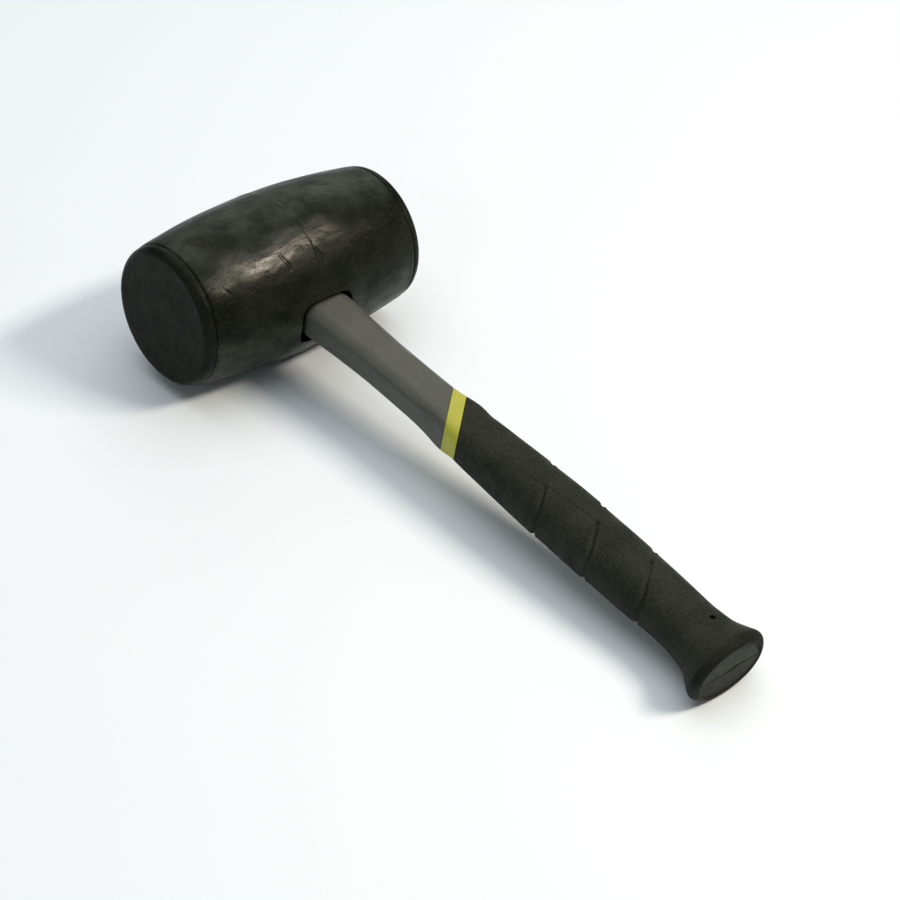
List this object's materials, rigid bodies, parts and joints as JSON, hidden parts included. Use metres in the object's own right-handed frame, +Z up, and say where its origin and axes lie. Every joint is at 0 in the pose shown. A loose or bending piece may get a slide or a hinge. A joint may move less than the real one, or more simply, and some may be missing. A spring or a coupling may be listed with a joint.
{
  "type": "rubber mallet",
  "caption": "Barrel-shaped rubber head on a plastic-jacketed fibreglass handle with a slanted accent band, a contoured soft grip and a flared butt.",
  "frame": {"origin": "middle of the mallet's footprint, on the surface that it lies on", "axes": "+X along the head's axis toward one striking face, the handle runs from the head toward -Y and tips down to the butt, +Z up"},
  "size_m": [0.13, 0.344, 0.0788],
  "materials": {
    "head_rubber": "dusty satin moulded rubber with a mottled grey bloom",
    "grip_rubber": "fine matte texture",
    "shank_plastic": "satin",
    "accent_plastic": "satin gloss",
    "butt_plastic": "satin",
    "fibreglass": "ground rod with lengthwise fibres",
    "epoxy": "cured resin"
  },
  "bodies": {
    "root": {"rubber_head": "head_rubber", "eye_bond": "epoxy", "eye_plug": "grip_rubber", "handle_core": "fibreglass", "shank_jacket": "shank_plastic", "accent_band": "accent_plastic", "grip_sleeve": "grip_rubber", "butt_insert": "butt_plastic"}
  },
  "joints": []
}
